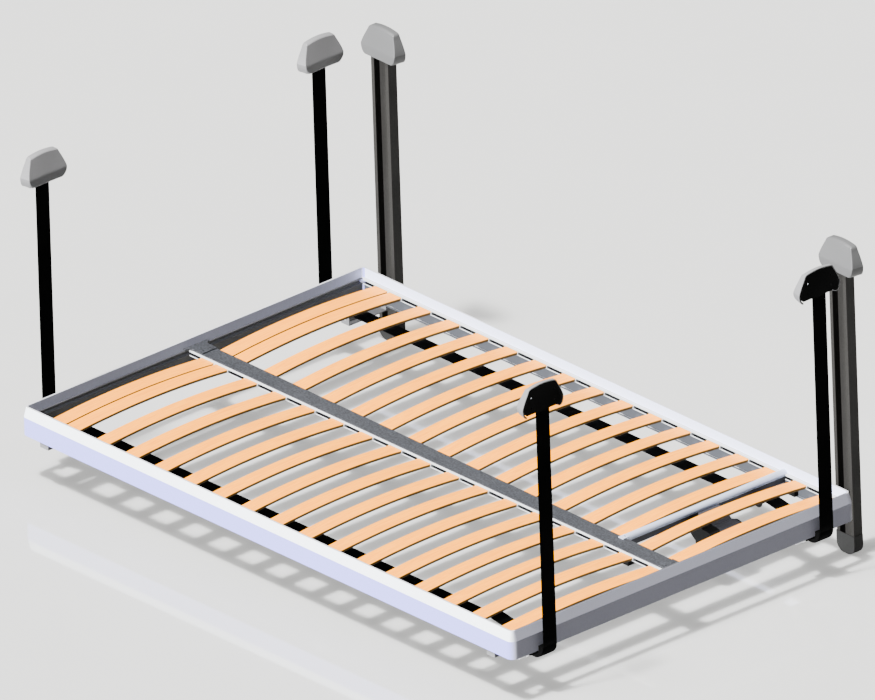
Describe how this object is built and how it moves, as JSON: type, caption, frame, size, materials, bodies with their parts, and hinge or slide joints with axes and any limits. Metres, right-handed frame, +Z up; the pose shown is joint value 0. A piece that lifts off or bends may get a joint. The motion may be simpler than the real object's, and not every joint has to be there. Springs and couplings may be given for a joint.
{
  "type": "electric bed lift with slatted bed frame",
  "caption": "Electric lift bed: slatted bed frame hung on black straps, led by wall guide channels, with a winding shaft and motor under the slats.",
  "frame": {"origin": "bottom middle of the whole object's box, level with the lowest point of the guide feet", "axes": "+X along the bed's length towards the motor end, +Y towards the wall that carries the guide channels, +Z up"},
  "size_m": [1.996, 1.262, 0.912],
  "materials": {
    "frame_paint": "satin",
    "beam_grey": "matte, finely speckled",
    "strip_plastic": "matte",
    "slat_wood": "clear satin lacquer",
    "tube_metal": "satin",
    "plain_steel": "zinc plated",
    "bar_paint": "satin",
    "dark_cast": "matte",
    "black_plastic": "matte",
    "strap_web": "woven",
    "roller_plastic": "smooth",
    "guide_paint": "satin",
    "cover_plastic": "fine grain"
  },
  "bodies": {
    "wall_set": {"guide_rails": "guide_paint", "guide_feet": "black_plastic", "guide_caps": "cover_plastic", "wall_plates": "black_plastic", "cover_front_left": "cover_plastic", "cover_rear_left": "cover_plastic", "cover_front_right": "cover_plastic", "cover_rear_right": "cover_plastic", "anchor_brackets": "black_plastic", "anchor_pins": "plain_steel", "strap_loops": "strap_web", "hanging_straps": "strap_web"},
    "bed": {"rail_front": "frame_paint", "rail_rear": "frame_paint", "rail_left": "frame_paint", "rail_right": "frame_paint", "corner_castings": "frame_paint", "spine": "beam_grey", "spine_bracket_left": "beam_grey", "spine_bracket_right": "beam_grey", "bracket_screws": "plain_steel", "slat_strip_front": "strip_plastic", "slat_strip_spine_front": "strip_plastic", "slat_strip_spine_rear": "strip_plastic", "slat_strip_rear": "strip_plastic", "slats_front": "slat_wood", "slats_rear": "slat_wood", "slat_end_caps": "strip_plastic", "cross_tube": "tube_metal", "shaft_bearings": "dark_cast", "motor_housing": "dark_cast", "motor_end_cap": "dark_cast", "gearbox": "dark_cast", "motor_bracket": "bar_paint", "shoe_front_left": "black_plastic", "shoe_rear_left": "black_plastic", "shoe_front_right": "black_plastic", "shoe_rear_right": "black_plastic", "shoe_bolts": "plain_steel", "run_front_left": "strap_web", "run_rear_left": "strap_web", "run_front_right": "strap_web", "run_rear_right": "strap_web", "roller_brackets": "plain_steel", "roller_pins": "plain_steel", "carriage_left": "dark_cast", "carriage_right": "dark_cast", "wheel_axles": "plain_steel"},
    "drive_shaft": {"winding_shaft": "plain_steel", "strap_drums": "dark_cast", "wound_straps": "strap_web", "shaft_gear": "plain_steel"},
    "motor_spindle": {"motor_rotor": "plain_steel", "motor_gear": "plain_steel"},
    "roller_fl": {"roller_front_left": "roller_plastic"},
    "roller_rl": {"roller_rear_left": "roller_plastic"},
    "roller_fr": {"roller_front_right": "roller_plastic"},
    "roller_rr": {"roller_rear_right": "roller_plastic"},
    "guide_wheels_left": {"wheels_left": "roller_plastic"},
    "guide_wheels_right": {"wheels_right": "roller_plastic"}
  },
  "joints": [
    {"name": "lift", "type": "slide", "parent": "wall_set", "child": "bed", "axis": [0, 0, 1], "range_m": [0, 0.55], "deforming": ["hanging_straps"]},
    {"name": "wind", "type": "hinge", "parent": "bed", "child": "drive_shaft", "pos_m": [0.75057, -0.026, 0.153], "axis": [0, -1, 0], "range_deg": [0, 2868.8]},
    {"name": "motor_turn", "type": "hinge", "parent": "bed", "child": "motor_spindle", "pos_m": [0.793, 0.269, 0.12], "axis": [0, 1, 0], "range_deg": [0, 1701.7]},
    {"name": "roller_turn_fl", "type": "hinge", "parent": "bed", "child": "roller_fl", "pos_m": [-0.887, -0.514, 0.129], "axis": [0, 1, 0], "range_deg": [0, 2428.1]},
    {"name": "roller_turn_rl", "type": "hinge", "parent": "bed", "child": "roller_rl", "pos_m": [-0.887, 0.462, 0.129], "axis": [0, 1, 0], "range_deg": [0, 2428.1]},
    {"name": "roller_turn_fr", "type": "hinge", "parent": "bed", "child": "roller_fr", "pos_m": [0.887, -0.514, 0.129], "axis": [0, -1, 0], "range_deg": [0, 2428.1]},
    {"name": "roller_turn_rr", "type": "hinge", "parent": "bed", "child": "roller_rr", "pos_m": [0.887, 0.462, 0.129], "axis": [0, -1, 0], "range_deg": [0, 2428.1]},
    {"name": "wheel_turn_left", "type": "hinge", "parent": "bed", "child": "guide_wheels_left", "pos_m": [-0.909, 0.616, 0.154], "axis": [-1, 0, 0], "range_deg": [0, 2630.1]},
    {"name": "wheel_turn_right", "type": "hinge", "parent": "bed", "child": "guide_wheels_right", "pos_m": [0.909, 0.616, 0.154], "axis": [-1, 0, 0], "range_deg": [0, 2630.1]}
  ],
  "couplings": [
    {"joint": "wind", "follows": "lift", "rad_per_m": 90.909},
    {"joint": "motor_turn", "follows": "lift", "rad_per_m": 53.872},
    {"joint": "roller_turn_fl", "follows": "lift", "rad_per_m": 76.923},
    {"joint": "roller_turn_rl", "follows": "lift", "rad_per_m": 76.923},
    {"joint": "roller_turn_fr", "follows": "lift", "rad_per_m": 76.923},
    {"joint": "roller_turn_rr", "follows": "lift", "rad_per_m": 76.923},
    {"joint": "wheel_turn_left", "follows": "lift", "rad_per_m": 83.333},
    {"joint": "wheel_turn_right", "follows": "lift", "rad_per_m": 83.333}
  ]
}
